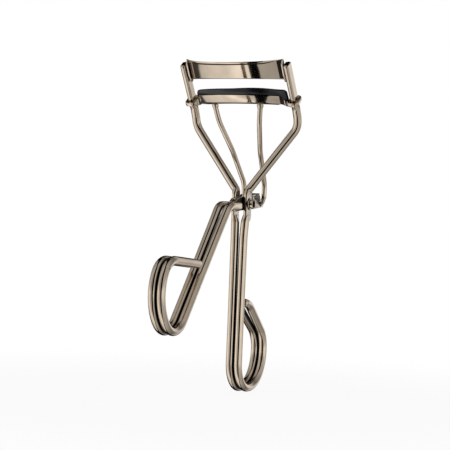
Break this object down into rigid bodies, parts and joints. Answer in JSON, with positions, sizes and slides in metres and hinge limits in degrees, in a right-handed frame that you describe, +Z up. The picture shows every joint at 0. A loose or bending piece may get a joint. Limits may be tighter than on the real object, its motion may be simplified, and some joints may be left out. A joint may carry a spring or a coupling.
{
  "type": "eyelash curler",
  "caption": "Scissor-action eyelash curler: bent wire frame with a curved upper jaw, sliding padded lower jaw, push rods, and two handles with finger loops.",
  "frame": {"origin": "under the middle of the whole open tool, at the level of the fixed finger loop's lowest point", "axes": "+X along the pivot rivet, -Y towards the moving handle's finger loop, +Z up the fixed handle towards the jaws"},
  "size_m": [0.0382, 0.0808, 0.1037],
  "materials": {
    "plated_wire": "polished warm plating",
    "plated_strip": "polished warm plating",
    "coined_steel": "semi-bright plating",
    "pad_rubber": "smooth matte"
  },
  "bodies": {
    "frame": {"frame_wire_left": "plated_wire", "frame_wire_right": "plated_wire", "upper_jaw": "plated_strip", "pivot_rivet": "coined_steel"},
    "lever": {"lever_yoke": "coined_steel", "lever_wire_left": "plated_wire", "lever_wire_right": "plated_wire"},
    "jaw": {"lower_jaw": "plated_strip", "rubber_pad": "pad_rubber"},
    "rods": {"push_rod_left": "plated_wire", "push_rod_right": "plated_wire"}
  },
  "joints": [
    {"name": "lever_pivot", "type": "hinge", "parent": "frame", "child": "lever", "pos_m": [0, 0.02033, 0.05915], "axis": [1, 0, 0], "range_deg": [0, 17.9]},
    {"name": "jaw_slide", "type": "slide", "parent": "frame", "child": "jaw", "axis": [0, -0.5736, 0.8192], "range_m": [0, 0.003]},
    {"name": "rod_swing", "type": "hinge", "parent": "jaw", "child": "rods", "pos_m": [0, 0.01513, 0.08925], "axis": [1, 0, 0], "range_deg": [0, 2.4]}
  ],
  "couplings": [
    {"joint": "jaw_slide", "follows": "lever_pivot", "m_per_rad": 0.0094974},
    {"joint": "rod_swing", "follows": "lever_pivot", "ratio": 0.1328}
  ]
}
